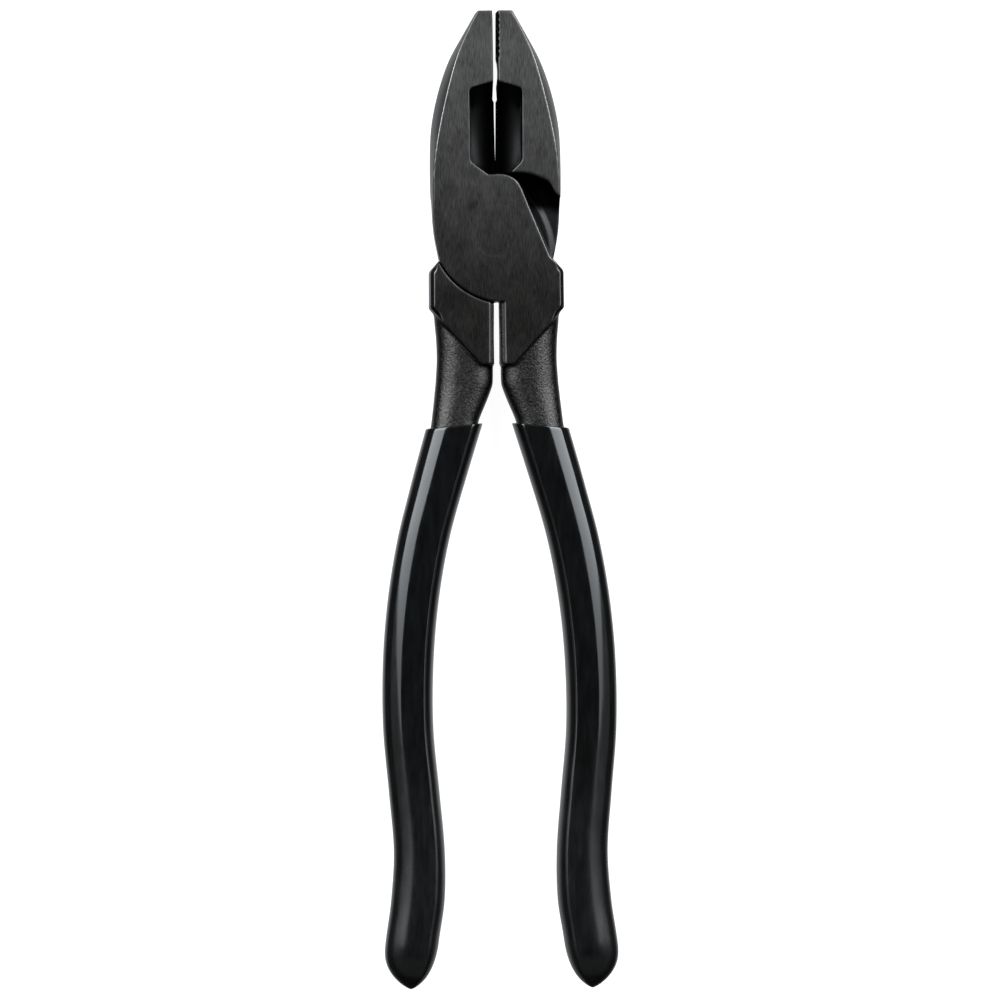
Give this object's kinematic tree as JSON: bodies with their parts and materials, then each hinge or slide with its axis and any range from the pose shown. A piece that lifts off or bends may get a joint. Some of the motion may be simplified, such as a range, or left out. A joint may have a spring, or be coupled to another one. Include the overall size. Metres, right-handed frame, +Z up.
{
  "type": "lineman pliers",
  "caption": "Side-cutting lineman pliers with a lapped riveted joint, toothed flat nose, cutting knives in a window and dipped grips.",
  "frame": {"origin": "on the rivet's axis, on the plane that the pliers lie on", "axes": "+Y along the closed pliers towards the jaw tips, +Z up through the head's thickness, towards its front face, +X across the jaws to the right"},
  "size_m": [0.0574, 0.2394, 0.0159],
  "materials": {
    "blackened_steel": "black oxide, ground faces brushed along the length, forged tangs grainy",
    "rivet_steel": "black oxide, ground flush with the faces",
    "dipped_vinyl": "glossy black dipped vinyl"
  },
  "bodies": {
    "right_jaw": {"right_jaw_forging": "blackened_steel", "pivot_rivet": "rivet_steel", "left_grip": "dipped_vinyl"},
    "left_jaw": {"left_jaw_forging": "blackened_steel", "right_grip": "dipped_vinyl"}
  },
  "joints": [
    {"name": "jaw_pivot", "type": "hinge", "parent": "right_jaw", "child": "left_jaw", "pos_m": [0, 0, 0.00795], "axis": [0, 0, 1], "range_deg": [-0.05, 40]}
  ]
}
